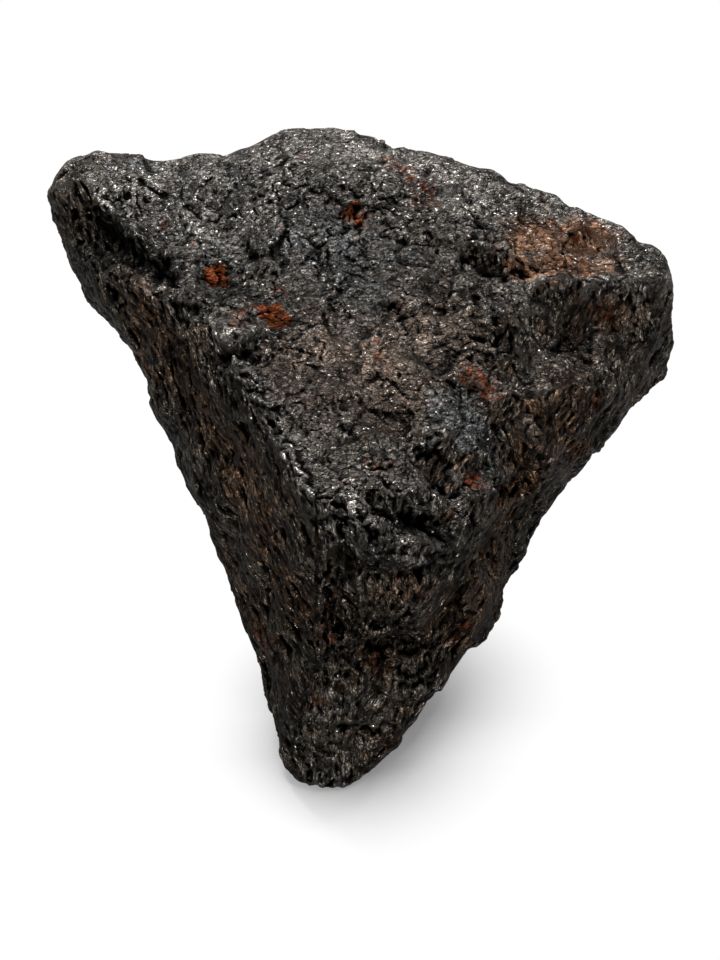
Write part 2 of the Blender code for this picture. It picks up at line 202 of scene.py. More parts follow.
# Tints seen in the photograph: kind, strength, reach in millimetres, and pixels.
# Some tints are painted light: the dark tint in slits, hollows and under knobs and ledges is painted shade
# along with some darker metal, and the light grey tint on ridges, the nose and the hump is bare metal along
# with painted highlights.
tints = (
    ("rust", 3.0, 1.0, [(217, 273), (219, 283)]),
    ("rust", 3.0, 1.1, [(266, 310), (277, 319)]),
    ("rust", 1.0, 1.1, [(352, 208), (358, 216)]),
    ("dust", 1.3, 2.4, [(525, 236), (560, 236), (592, 238)]),
    ("dust", 1.3, 2.2, [(526, 266), (555, 270), (585, 266)]),
    ("rust", 0.5, 1.2, [(575, 240), (592, 232)]),
    ("dust", 0.5, 5.0, [(530, 245), (600, 255)]),
    ("rust", 0.5, 1.0, [(283, 290)]),
    ("rust", 0.45, 1.1, [(236, 316), (243, 326)]),
    ("rust", 0.5, 0.8, [(165, 225)]),
    ("rust", 0.5, 0.7, [(165, 185)]),
    ("rust", 0.5, 0.8, [(303, 158)]),
    ("rust", 0.55, 1.2, [(388, 163), (404, 172)]),
    ("rust", 0.5, 1.1, [(416, 181), (429, 188)]),
    ("rust", 0.5, 1.1, [(417, 199), (434, 204)]),
    ("rust", 0.6, 1.4, [(468, 374), (488, 392)]),
    ("rust", 0.7, 1.5, [(472, 480), (498, 498)]),
    ("rust", 0.5, 1.3, [(592, 403), (600, 408)]),
    ("rust", 0.5, 1.4, [(572, 452), (594, 443)]),
    ("rust", 0.5, 1.2, [(456, 638), (464, 627)]),
    ("rust", 0.6, 1.4, [(364, 655), (380, 664)]),
    ("rust", 0.45, 1.4, [(254, 628), (276, 642)]),
    ("rust", 0.5, 1.0, [(312, 702)]),
    ("rust", 0.5, 0.8, [(330, 575), (330, 640)]),
    ("rust", 0.35, 1.0, [(412, 545), (436, 552)]),
    ("rust", 0.5, 0.9, [(368, 464), (384, 468)]),
    ("rust", 0.4, 2.0, [(600, 305), (612, 320)]),
    ("brown", 1.0, 9.0, [(330, 370), (400, 380), (440, 350)]),
    ("brown", 1.1, 5.5, [(570, 400), (520, 480), (500, 540), (470, 610)]),
    ("brown", 1.0, 4.2, [(130, 300), (200, 400), (250, 500), (300, 610)]),
    ("brown", 0.6, 3.0, [(250, 620), (310, 700)]),
    ("brown", 0.6, 6.0, [(600, 320), (560, 380)]),
    ("brown", 0.6, 3.0, [(440, 490), (450, 500)]),
    ("blue", 1.3, 3.2, [(455, 410), (480, 450), (450, 470)]),
    ("blue", 0.8, 2.6, [(455, 560), (462, 585)]),
    ("blue", 0.8, 7.0, [(150, 200), (230, 210)]),
    ("blue", 0.6, 6.0, [(300, 230), (360, 270)]),
    # painted shade in slits, channels, hollows and under knobs and ledges, along with darker metal around
    # the rust
    ("soot", 1.2, 2.0, [(104, 226), (128, 246), (166, 270)]),
    ("soot", 0.8, 1.2, [(90, 214), (112, 236)]),
    ("soot", 0.9, 1.6, [(212, 268), (230, 296)]),
    ("soot", 0.9, 1.6, [(262, 304), (284, 324)]),
    ("soot", 0.9, 1.0, [(222, 358), (258, 356)]),
    ("soot", 0.4, 1.8, [(485, 270), (515, 272)]),
    ("soot", 1.0, 0.6, [(330, 566), (331, 600), (335, 630)]),
    ("soot", 1.2, 0.8, [(370, 508), (392, 526)]),
    ("soot", 1.5, 0.9, [(400, 518), (422, 524), (446, 540)]),
    ("soot", 1.0, 0.8, [(420, 455), (442, 453)]),
    ("soot", 0.8, 1.4, [(398, 580), (430, 560)]),
    ("soot", 0.5, 1.5, [(370, 650), (420, 648)]),
    # lighter bare metal along with painted highlights on the ridges, the nose, the crests and the hump
    ("bare", 0.9, 6.0, [(140, 200), (200, 215), (250, 210)]),
    ("bare", 1.0, 6.0, [(280, 165), (340, 160), (400, 175)]),
    ("bare", 0.8, 5.0, [(430, 190), (520, 210), (620, 250)]),
    ("bare", 1.0, 1.8, [(250, 385), (285, 445), (340, 535)]),
    ("bare", 1.3, 2.2, [(345, 500), (358, 535), (375, 550), (405, 558), (438, 558)]),
    ("bare", 0.55, 5.0, [(300, 700), (330, 765), (375, 720)]),
    ("bare", 0.45, 2.5, [(75, 250), (110, 330), (160, 440), (195, 510)]),
    ("bare", 1.4, 0.9, [(233, 365), (245, 381), (262, 404)]),
    ("bare", 1.4, 0.9, [(284, 443), (296, 470), (311, 495), (338, 533)]),
    ("bare", 1.3, 1.3, [(218, 337), (250, 340)]),
    ("bare", 1.0, 0.9, [(418, 432), (442, 432)]),
    ("bare", 1.3, 1.0, [(385, 506), (432, 511)]),
    ("bare", 1.2, 1.4, [(398, 495), (415, 490), (440, 505)]),
    ("bare", 0.8, 1.6, [(98, 190), (120, 222), (141, 239)]),
    ("bare", 0.8, 2.0, [(520, 281), (600, 286), (672, 286)]),
)

tintKinds = ("rust", "dust", "brown", "blue", "bare", "soot")

# Where the metal is calm and smooth: strength, reach in millimetres, and pixels.
calmPlaces = (
    (1.0, 3.5, [(62, 178), (90, 170), (150, 168), (215, 158), (300, 138), (360, 146)]),
    (1.0, 3.5, [(360, 146), (430, 172), (520, 198), (600, 230), (650, 262)]),
    (0.9, 4.0, [(530, 230), (600, 255), (650, 275)]),
    (0.9, 4.5, [(620, 310), (650, 340), (640, 370)]),
    (0.7, 3.5, [(200, 200), (235, 230)]),
    (0.8, 4.5, [(340, 350), (400, 370), (420, 340)]),
    (0.6, 4.0, [(560, 380), (540, 440)]),
    (0.9, 3.0, [(540, 305), (640, 312)]),
    (0.6, 3.0, [(385, 580), (400, 620)]),
    (0.9, 5.0, [(300, 690), (330, 755), (390, 700)]),
    (0.7, 3.0, [(360, 590), (420, 620)]),
)


def inMm(values):
    return Vector(values) * mm


# camera

def cameraBack():
    tilt = math.radians(view["elevation"])
    return Vector((0.0, -math.cos(tilt), math.sin(tilt)))


def cameraPlace():
    return inMm(view["aim"]) + cameraBack() * view["distance"] * mm


def addCamera():
    lens = bpy.data.cameras.new("camera")
    lens.lens = view["lens"]
    lens.sensor_width = view["sensor"]
    lens.clip_start = view["nearest"] * mm
    camera = bpy.data.objects.new("camera", lens)
    bpy.context.scene.collection.objects.link(camera)
    camera.location = cameraPlace()
    camera.rotation_euler = (-cameraBack()).to_track_quat("-Z", "Y").to_euler()
    bpy.context.scene.camera = camera


def pixelRay(pixel):
    # where the camera stands, and the direction of one pixel of the picture
    width, height = view["picture"]
    pixelsPerUnit = view["lens"] / view["sensor"] * height
    back = cameraBack()
    right = Vector((1.0, 0.0, 0.0))
    up = back.cross(right)
    x = (pixel[0] - width / 2) / pixelsPerUnit
    y = (height / 2 - pixel[1]) / pixelsPerUnit
    return cameraPlace(), (right * x + up * y - back).normalized()


def onSurface(tree, pixels):
    # the places of some pixels on the lump, in millimetres
    places = []
    for pixel in pixels:
        eye, direction = pixelRay(pixel)
        hit = tree.ray_cast(eye, direction)[0]
        if hit is not None:
            places.append(hit / mm)
    return np.array([tuple(p) for p in places])


# skin

def evenSkin(node):
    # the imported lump, rounded and cut into even small faces
    source = node.data.copy()
    joined = bmesh.new()
    joined.from_mesh(source)
    bmesh.ops.remove_doubles(joined, verts=joined.verts, dist=skin["weld"] * mm)
    joined.to_mesh(source)
    joined.free()
    copy = bpy.data.objects.new("skin", source)
    bpy.context.scene.collection.objects.link(copy)
    rounded = copy.modifiers.new("round", "SUBSURF")
    rounded.levels = skin["roundings"]
    rounded.render_levels = skin["roundings"]
    even = copy.modifiers.new("even", "REMESH")
    even.mode = "VOXEL"
    even.voxel_size = skin["voxel"] * mm
    calm = copy.modifiers.new("calm", "SMOOTH")
    calm.factor = skin["smoothing"]
    calm.iterations = skin["smoothings"]
    graph = bpy.context.evaluated_depsgraph_get()
    mesh = bpy.data.meshes.new_from_object(copy.evaluated_get(graph))
    bpy.data.objects.remove(copy, do_unlink=True)
    return mesh


def readPoints(mesh):
    points = np.empty(len(mesh.vertices) * 3)
    mesh.vertices.foreach_get("co", points)
    return points.reshape(-1, 3) / mm


def writePoints(mesh, points):
    mesh.vertices.foreach_set("co", (points * mm).ravel())
    mesh.update()


def readNormals(mesh):
    normals = np.empty(len(mesh.vertices) * 3)
    mesh.vertices.foreach_get("normal", normals)
    return normals.reshape(-1, 3)


def readEdges(mesh):
    ends = np.empty(len(mesh.edges) * 2, dtype=int)
    mesh.edges.foreach_get("vertices", ends)
    return ends.reshape(-1, 2).T


def spread(values, edges, passes):
    # averages a value over its neighbours, several times
    first, second = edges
    length = len(values)
    count = np.bincount(first, minlength=length) + np.bincount(second, minlength=length) + 1.0
    table = values.reshape(length, -1)
    for _ in range(passes):
        columns = []
        for column in table.T:
            total = column + np.bincount(first, column[second], length)
            total += np.bincount(second, column[first], length)
            columns.append(total / count)
        table = np.stack(columns, 1)
    return table.reshape(values.shape)


def unit(vectors):
    return vectors / np.linalg.norm(vectors, axis=1)[:, None]


def ramp(values, start, end):
    share = np.clip((values - start) / (end - start), 0.0, 1.0)
    return share * share * (3.0 - 2.0 * share)


def distanceToLine(points, line):
    best = np.linalg.norm(points - line[0], axis=1)
    for start, end in zip(line[:-1], line[1:]):
        run = end - start
        share = np.clip((points - start) @ run / (run @ run), 0.0, 1.0)
        best = np.minimum(best, np.linalg.norm(points - start - share[:, None] * run, axis=1))
    return best


def bump(distance, reach):
    share = np.clip(distance / reach, 0.0, 1.0)
    return (1.0 - share ** 2) ** 2


def sample(points):
    return np.array([noise.noise(point) for point in points.tolist()])


def wobble(points, size, amount):
    # moves the points a little, so that no form has an even edge
    moved = [sample(points / size + np.array(place)) for place in noisePlaces]
    return points + np.stack(moved, 1) * amount


def randoms(cells, seed):
    # one repeatable random number from 0 to 1 for each whole-number place
    mixed = seed * mixing["seed"]
    for axis, factor in enumerate(mixing["axes"]):
        mixed = mixed + cells[:, axis] * factor
    mixed = mixed & mixing["bits"]
    mixed = ((mixed ^ (mixed >> 13)) * mixing["stir"]) & mixing["bits"]
    return (mixed ^ (mixed >> 16)) / mixing["bits"]


def threeRandoms(cells, seed):
    return np.stack([randoms(cells, seed + axis) for axis in range(3)], 1)


def neighbours(points, size):
    # for each of the 27 cells around a point: the cell, and the way from its own corner to the point
    grid = points / size
    cells = np.floor(grid).astype(np.int64)
    inside = grid - cells
    for step in np.ndindex(3, 3, 3):
        shift = np.array(step) - 1
        yield cells + shift, inside - shift


def facets(points, look):
    # broken metal: tilted flat plates at uneven levels, with cracks where they meet
    seed = look["seed"]
    level = np.zeros(len(points))
    weights = np.zeros(len(points))
    strongest = np.zeros(len(points))
    for cells, fromCorner in neighbours(points, look["size"]):
        away = fromCorner - threeRandoms(cells, seed)
        nearness = np.exp(-look["crisp"] * (away ** 2).sum(1))
        tilt = threeRandoms(cells, seed + 3) * 2.0 - 1.0
        lean = (away * tilt).sum(1) * relief["facetTilt"]
        level += nearness * (lean + randoms(cells, seed + 6) - 0.5)
        weights += nearness
        strongest = np.maximum(strongest, nearness)
    border = 1.0 - strongest / weights
    return look["lift"] * level / weights - look["crack"] * ramp(border, *relief["facetBorder"])


def pins(points):
    # scattered round holes, each with its own size
    look = relief["pins"]
    depth = np.zeros(len(points))
    for cells, fromCorner in neighbours(points, look["size"]):
        away = np.linalg.norm(fromCorner - threeRandoms(cells, look["seed"]), axis=1)
        width = look["narrowest"] + look["wider"] * randoms(cells, look["seed"] + 4)
        present = randoms(cells, look["seed"] + 5) < look["share"]
        depth = np.maximum(depth, present * bump(away, width))
    return depth


def strandNet(points):
    # a net of two sizes of strands: high between the gaps, low in them
    look = relief["strands"]
    wide = np.abs(sample(points))
    fine = np.abs(sample(points * look["finer"] + np.array(look["finePlace"])))
    return look["level"] - look["wide"] * wide - look["fine"] * fine


def wanderingCracks(points):
    # thin cracks that wander, fade out and start again
    look = relief["cracks"]
    line = np.abs(sample(points / look["size"]))
    there = ramp(sample(points / look["patchSize"] + look["patchPlace"]), *look["patches"])
    return (1.0 - ramp(line, 0.0, look["width"])) * there


def strandPlaces(points, normals):
    # the points drawn together along the strands of their own side, so that noise read there is stretched
    edge = relief["sideEdges"]
    uneven = sample(points / edge["size"]) * edge["amount"]
    best = np.full(len(points), -np.inf)
    drawn = points.copy()
    for index, run in enumerate(strandRuns.values()):
        facing = np.array(Vector(run["facing"]).normalized())
        along = np.array(Vector(run["along"]).normalized())
        match = normals @ facing + uneven * (-1) ** index
        squeezed = points - (points @ along)[:, None] * along * (1.0 - 1.0 / run["length"])
        better = match > best
        drawn[better] = squeezed[better]
        best[better] = match[better]
    return drawn


def placedForms(tree, points):
    rise = np.zeros(len(points))
    for name, lift, reach, pixels in forms:
        line = onSurface(tree, pixels)
        if len(line):
            rise += lift * bump(distanceToLine(points, line), reach)
        else:
            print("nothing of the lump under:", name)
    return rise


def painted(tree, points, places):
    # how strongly some places of the photograph cover each point
    amount = np.zeros(len(points))
    for strength, reach, pixels in places:
        line = onSurface(tree, pixels)
        if len(line):
            cover = bump(distanceToLine(points, line), reach * skin["paintReach"])
            amount = np.maximum(amount, strength * cover)
    return amount


def roughness(points, calm):
    # the relief comes in rougher and smoother patches, and goes where the metal is calm
    patches = ramp(sample(points / relief["roughSize"]), *relief["roughPatches"])
    return (relief["roughLeast"] + relief["roughMore"] * patches) * (1.0 - skin["calming"] * calm)


def addRelief(rise, points, drawn, strands, wall, rough):
    # adds what covers everything to the rise of the placed forms
    bent = wobble(points, *relief["bent"])
    crinkled = wobble(points, *relief["crinkled"])

    def shareOf(look):
        onWall = look["onTop"] + (look["onWall"] - look["onTop"]) * wall
        return onWall * np.clip(rough * look["gain"], look["least"], 1.0)

    for name, places in (("blocks", bent), ("plates", crinkled), ("hackles", crinkled)):
        look = relief[name]
        steady = look["steady"]
        onWall = 1.0 - (1.0 - look["onWall"]) * wall
        rise += facets(places, look) * onWall * (steady + (1.0 - steady) * rough)
    rise += relief["strands"]["lift"] * strands * shareOf(relief["strands"])
    look = relief["gaps"]
    gaps = ramp(-sample(drawn / look["size"] + look["place"]), *look["limits"])
    rise -= look["depth"] * gaps * shareOf(look)
    rise -= relief["cracks"]["depth"] * wanderingCracks(crinkled) * shareOf(relief["cracks"])
    rise -= relief["pins"]["depth"] * pins(bent) * shareOf(relief["pins"])


def buildSkin():
    mesh = evenSkin(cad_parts["meteorite"])
    print("even skin:", len(mesh.polygons), "faces")
    lump = bpy.data.objects.new("meteoriteSkin", mesh)
    bpy.context.scene.collection.objects.link(lump)
    bpy.context.view_layer.update()
    tree = BVHTree.FromObject(lump, bpy.context.evaluated_depsgraph_get())

    points = readPoints(mesh)
    edges = readEdges(mesh)
    normals = unit(spread(readNormals(mesh), edges, skin["normalPasses"]))
    wall = ramp(-normals[:, 2], -skin["wallStart"], -skin["wallEnd"])
    calm = painted(tree, points, calmPlaces)
    drawn = strandPlaces(points, normals)
    strands = strandNet(drawn / relief["strands"]["size"])
    ragged = wobble(points, *relief["ragged"])
    rise = placedForms(tree, ragged)
    print("placed forms:", len(forms), "from", round(rise.min(), 2), "to", round(rise.max(), 2), "mm")
    addRelief(rise, points, drawn, strands, wall, roughness(points, calm))
    writePoints(mesh, insideBox(points + normals * rise[:, None]))

    store(mesh, "hollow", rise - spread(rise, edges, skin["hollowPasses"]))
    store(mesh, "crevice", rise - spread(rise, edges, skin["crevicePasses"]))
    store(mesh, "convex", ((points - spread(points, edges, skin["convexPasses"])) * normals).sum(1))
    store(mesh, "wall", wall)
    store(mesh, "calm", calm)
    store(mesh, "strands", strands)
    storePlaces(mesh, "grainPlace", drawn * mm)
    for kind in tintKinds:
        store(mesh, kind, painted(tree, ragged, [tint[1:] for tint in tints if tint[0] == kind]))
    thinOut(lump)
    lump.data.shade_smooth()
    print("skin:", len(lump.data.polygons), "faces")
    return lump


def thinOut(lump):
    # joins faces where the skin is calm, and keeps them where it is broken
    triangles = 2 * len(lump.data.polygons)
    thin = lump.modifiers.new("thin", "DECIMATE")
    thin.ratio = min(1.0, skin["mostFaces"] / triangles)
    mesh = bpy.data.meshes.new_from_object(lump.evaluated_get(bpy.context.evaluated_depsgraph_get()))
    lump.modifiers.clear()
    lump.data = mesh
    writePoints(mesh, insideBox(readPoints(mesh)))


def insideBox(points):
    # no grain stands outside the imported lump's own box
    low, high = (np.array(corner) / mm for corner in cadBox)
    return np.clip(points, low, high)


def store(mesh, name, values):
    attribute = mesh.attributes.new(name, "FLOAT", "POINT")
    attribute.data.foreach_set("value", values.astype(np.float32))


def storePlaces(mesh, name, places):
    attribute = mesh.attributes.new(name, "FLOAT_VECTOR", "POINT")
    attribute.data.foreach_set("vector", places.astype(np.float32).ravel())


# material

iron = {
    "dark": (0.0090, 0.0082, 0.0074, 1.0),
    "pale": (0.037, 0.0328, 0.0283, 1.0),
    # lighter bare metal, also the colour of painted highlights on ridges and crests
    "bare": (0.059, 0.0540, 0.0484, 1.0),
    # painted highlight: the colour of the glints
    "paintedGlint": (0.85, 0.81, 0.77, 1.0),
    "brown": (0.035, 0.0208, 0.0128, 1.0),
    "blue": (0.040, 0.0455, 0.049, 1.0),
    "olive": (0.040, 0.0335, 0.0255, 1.0),
    "wallBrown": (0.050, 0.0285, 0.0160, 1.0),
    "dustDeep": (0.040, 0.0200, 0.0115, 1.0),
    "dustBright": (0.120, 0.0540, 0.0245, 1.0),
    "rustDeep": (0.014, 0.0040, 0.0018, 1.0),
    "rustBright": (0.092, 0.0225, 0.0068, 1.0),
    "metal": 0.75,
    "metalInDust": 0.25,
    "rustRoughness": 0.3,    # how much rougher the rust is
    "grainSize": 0.00028,    # metres across one hackle of the grain
    "grainHeight": 0.00030,
}

# The grain of the metal. Scales are in parts of one over the grain's size.
grainLook = {
    "warpScale": 0.8, "warp": 1.5,
    "plateScale": 0.5, "mottleScale": 0.7, "holeScale": 0.46, "speckScale": 0.35,
    "gapHeight": 0.4, "ribbonHeight": 1.1, "facetHeight": 1.6, "mottleHeight": 0.25, "holeDepth": 0.5,
    "mottleDetail": 4.0, "mottleRoughness": 0.8, "widestHole": 0.42,
    "gap": (0.0, 0.2),
    "hole": (-0.08, 0.06, 1.0, 0.0),
    "tone": (0.36, 0.62),
    "crack": (0.01, 0.11, 1.0, 0.0),
    "crackPatches": (0.44, 0.58, 1.0, 0.35),
    "rim": (0.0, 0.024, 1.0, 0.0),
    "rimPatches": (0.53, 0.60),
    "speck": (0.06, 0.12, 0.9, 0.0),
}

# Noise over the whole lump: features to a metre, detail and roughness.
noises = {
    "broad": (120.0, 4.0, 0.6),
    "small": (320.0, 2.0, 0.5),
    "middling": (650.0, 4.0, 0.7),
}

# How a tint's edge is broken up, and for each tint the noise features to a metre and the amount.
patchLook = {"detail": 4.0, "roughness": 0.65, "push": 3.0, "present": (0.0, 0.12), "edge": (0.25, 0.75)}
patches = {
    "rust": {"Scale": 1300.0, "Breakup": 0.9},
    "dust": {"Scale": 500.0, "Breakup": 0.5},
    "brown": {"Scale": 500.0, "Breakup": 0.8},
    "blue": {"Scale": 400.0, "Breakup": 0.8},
    # the next two: bare metal with painted highlights, and painted shade with darker metal
    "bare": {"Scale": 600.0, "Breakup": 0.7},
    "soot": {"Scale": 420.0, "Breakup": 1.0},
}

# How strongly each tone covers the one below it.
shares = {
    # the bare share is lighter metal along with painted highlights
    "brown": 0.6, "blue": 0.6, "bare": 0.9, "dust": 0.85, "wall": 0.9,
    "wallBrown": 0.5, "scatteredRust": 0.3,
    "evenWall": 0.4, "evenDust": 0.5, "evenCalm": 0.5, "evenTone": 0.75,
    # raised grain and crests lightened: part wear, part painted highlight
    "worn": 0.7, "edge": 0.75,
}

# How masks turn into tones: where they start and end, and the values there if those aren't 0 and 1.
limits = {
    "wallBrown": (0.48, 0.62),
    "scatteredRust": (0.58, 0.74),
    "brightRust": (0.42, 0.60),
    "rustOnWall": (0.0, 1.0, 1.0, 0.5),
    "brightDust": (0.40, 0.60),
    # raised grain and crests lightened, part wear and part painted highlight
    "worn": (0.02, 0.10),
    "edge": (0.10, 0.24),
    "edgeBreaks": (0.35, 0.6),
    # painted shade: darker in crevices, hollows, cracks, pinholes and under the dark tint
    "creviceShade": (-0.09, 0.0, 0.05, 1.0),
    "hollowShade": (-0.42, -0.02, 0.12, 1.0),
    "crackShade": (0.0, 1.0, 1.0, 0.02),
    "shadeAndDarkDepth": (0.0, 1.0, 1.0, 0.18),
    "pinholeShade": (0.0, 1.0, 1.0, 0.08),
    "pinholeOnWall": (0.0, 1.0, 0.25, 1.0),
    "net": (-0.30, 0.36, 0.30, 1.55),
    "netOnBareAndHighlight": (0.0, 1.0, 1.0, 0.5),
    "broadPatches": (0.36, 0.64, 0.60, 1.40),
    "smallPatches": (0.36, 0.64, 0.72, 1.28),
    # painted glints: where the bright rims and specks show
    "glintHeight": (-0.06, 0.04, 0.0, 1.0),
    "glintOnWall": (0.0, 1.0, 1.0, 0.6),
    "glintOffRust": (0.0, 1.0, 0.25, 1.0),
    "glintOnBareAndHighlight": (0.0, 1.0, 0.38, 0.85),
    "gloss": (0.0, 1.0, 0.42, 0.25),
    "calmGrain": (0.0, 1.0, 1.0, 0.55),
}


def socket(group, name, direction, kind, default=None):
    made = group.interface.new_socket(name=name, in_out=direction, socket_type=kind)
    if default is not None:
        made.default_value = default


class Wires:
    # short ways to add and join nodes in one tree
    def __init__(self, tree):
        self.tree = tree

    def add(self, kind, **values):
        node = self.tree.nodes.new(kind)
        for name, value in values.items():
            setattr(node, name, value)
        return node

    def join(self, source, target):
        self.tree.links.new(source, target)

    def feed(self, target, value):
        if isinstance(value, bpy.types.NodeSocket):
            self.join(value, target)
        else:
            target.default_value = value

    def maths(self, operation, first, second=0.0, clamp=False):
        node = self.add("ShaderNodeMath", operation=operation, use_clamp=clamp)
        self.feed(node.inputs[0], first)
        self.feed(node.inputs[1], second)
        return node.outputs[0]

    def times(self, first, *others):
        for other in others:
            first = self.maths("MULTIPLY", first, other)
        return first

    def most(self, first, second):
        return self.maths("MAXIMUM", first, second)

    def outside(self, mask):
        return self.maths("SUBTRACT", 1.0, mask, True)

    def vector(self, operation, first, second):
        node = self.add("ShaderNodeVectorMath", operation=operation)
        self.feed(node.inputs[0], first)
        self.feed(node.inputs["Scale" if operation == "SCALE" else 1], second)
        return node.outputs["Value" if operation in ("DOT_PRODUCT", "DISTANCE") else "Vector"]

    def span(self, value, low, high, toLow=0.0, toHigh=1.0, kind="LINEAR"):
        node = self.add("ShaderNodeMapRange", interpolation_type=kind)
        self.feed(node.inputs["Value"], value)
        ends = {"From Min": low, "From Max": high, "To Min": toLow, "To Max": toHigh}
        for name, number in ends.items():
            self.feed(node.inputs[name], number)
        return node.outputs[0]

    def blend(self, amount, first, second, kind="MIX"):
        node = self.add("ShaderNodeMix", data_type="RGBA", blend_type=kind)
        self.feed(node.inputs[0], amount)
        self.feed(node.inputs[6], first)
        self.feed(node.inputs[7], second)
        return node.outputs[2]

    def mix(self, amount, first, second):
        node = self.add("ShaderNodeMix", data_type="FLOAT")
        self.feed(node.inputs[0], amount)
        self.feed(node.inputs[2], first)
        self.feed(node.inputs[3], second)
        return node.outputs[0]

    def speckle(self, place, scale, detail=2.0, rough=0.6):
        node = self.add("ShaderNodeTexNoise")
        self.feed(node.inputs["Vector"], place)
        self.feed(node.inputs["Scale"], scale)
        self.feed(node.inputs["Detail"], detail)
        self.feed(node.inputs["Roughness"], rough)
        return node.outputs["Fac"]

    def cells(self, place, scale, feature="F1"):
        node = self.add("ShaderNodeTexVoronoi", feature=feature)
        self.feed(node.inputs["Vector"], place)
        self.feed(node.inputs["Scale"], scale)
        return node.outputs

    def value(self, name):
        return self.add("ShaderNodeAttribute", attribute_name=name).outputs["Fac"]

    def group(self, group, **values):
        node = self.add("ShaderNodeGroup", node_tree=group)
        for name, value in values.items():
            self.feed(node.inputs[name], value)
        return node.outputs


def patchGroup():
    # an uneven patch: a soft mask with its edge broken by noise
    group = bpy.data.node_groups.new("brokenPatch", "ShaderNodeTree")
    socket(group, "Mask", "INPUT", "NodeSocketFloat", 0.0)
    socket(group, "Place", "INPUT", "NodeSocketVector")
    socket(group, "Scale", "INPUT", "NodeSocketFloat", 900.0)
    socket(group, "Breakup", "INPUT", "NodeSocketFloat", 0.5)
    socket(group, "Patch", "OUTPUT", "NodeSocketFloat")
    wires = Wires(group)
    given = wires.add("NodeGroupInput").outputs
    result = wires.add("NodeGroupOutput").inputs
    ragged = wires.speckle(given["Place"], given["Scale"], patchLook["detail"], patchLook["roughness"])
    broken = wires.times(wires.maths("SUBTRACT", ragged, 0.5), given["Breakup"])
    summed = wires.maths("ADD", given["Mask"], wires.times(broken, patchLook["push"]))
    present = wires.span(given["Mask"], *patchLook["present"])
    wires.join(wires.times(wires.span(summed, *patchLook["edge"]), present), result["Patch"])
    return group


def hackleGroup():
    # hackly metal. Height is for the bump, Tone for light and dark plates, Crack for the gaps between them,
    # where painted shade goes, Glint for painted highlights on short rims and specks, and Pinhole for small
    # holes that get painted shade.
    group = bpy.data.node_groups.new("hacklyGrain", "ShaderNodeTree")
    socket(group, "Place", "INPUT", "NodeSocketVector")
    socket(group, "Size", "INPUT", "NodeSocketFloat", iron["grainSize"])
    for name in ("Height", "Tone", "Crack", "Glint", "Pinhole"):
        socket(group, name, "OUTPUT", "NodeSocketFloat")
    wires = Wires(group)
    look = grainLook
    given = wires.add("NodeGroupInput").outputs
    result = wires.add("NodeGroupOutput").inputs
    scale = wires.maths("DIVIDE", 1.0, given["Size"])
    plateScale = wires.times(scale, look["plateScale"])

    # the places are pushed about, so that no plate has straight sides
    warp = wires.add("ShaderNodeTexNoise")
    wires.join(given["Place"], warp.inputs["Vector"])
    wires.join(wires.times(scale, look["warpScale"]), warp.inputs["Scale"])
    warp.inputs["Detail"].default_value = 1.0
    push = wires.vector("SCALE", warp.outputs["Color"], wires.times(given["Size"], look["warp"]))
    place = wires.vector("ADD", given["Place"], push)

    # plates with gaps, each tilted its own way
    gap = wires.cells(place, plateScale, "DISTANCE_TO_EDGE")["Distance"]
    tilted = wires.cells(place, plateScale)
    away = wires.vector("SUBTRACT", place, tilted["Position"])
    lean = wires.vector("SUBTRACT", tilted["Color"], (0.5, 0.5, 0.5))
    facet = wires.times(wires.vector("DOT_PRODUCT", away, lean), scale)
    ribbon = wires.maths("ABSOLUTE", wires.maths("SUBTRACT", wires.speckle(place, scale), 0.5))
    mottled = wires.speckle(given["Place"], wires.times(scale, look["mottleScale"]),
                            look["mottleDetail"], look["mottleRoughness"])
    height = wires.maths("ADD", wires.times(wires.span(gap, *look["gap"]), look["gapHeight"]),
                         wires.times(ribbon, look["ribbonHeight"]))
    height = wires.maths("ADD", height, wires.times(facet, look["facetHeight"]))
    height = wires.maths("ADD", height, wires.times(mottled, look["mottleHeight"]))

    # holes, each with its own width
    holes = wires.cells(place, wires.times(scale, look["holeScale"]))
    chance = wires.add("ShaderNodeSeparateColor")
    wires.join(holes["Color"], chance.inputs[0])
    width = wires.times(chance.outputs[0], look["widestHole"])
    hole = wires.span(wires.maths("SUBTRACT", holes["Distance"], width), *look["hole"])
    height = wires.maths("SUBTRACT", height, wires.times(hole, look["holeDepth"]))

    # painted highlights: rims and specks made bright in the colour
    rim = wires.times(wires.span(ribbon, *look["rim"]), wires.span(mottled, *look["rimPatches"]))
    specks = wires.cells(given["Place"], wires.times(scale, look["speckScale"]))["Distance"]
    crack = wires.times(wires.span(gap, *look["crack"]), wires.span(mottled, *look["crackPatches"]))
    wires.join(height, result["Height"])
    wires.join(wires.span(mottled, *look["tone"]), result["Tone"])
    wires.join(crack, result["Crack"])
    wires.join(wires.most(rim, wires.span(specks, *look["speck"])), result["Glint"])
    wires.join(hole, result["Pinhole"])
    return group


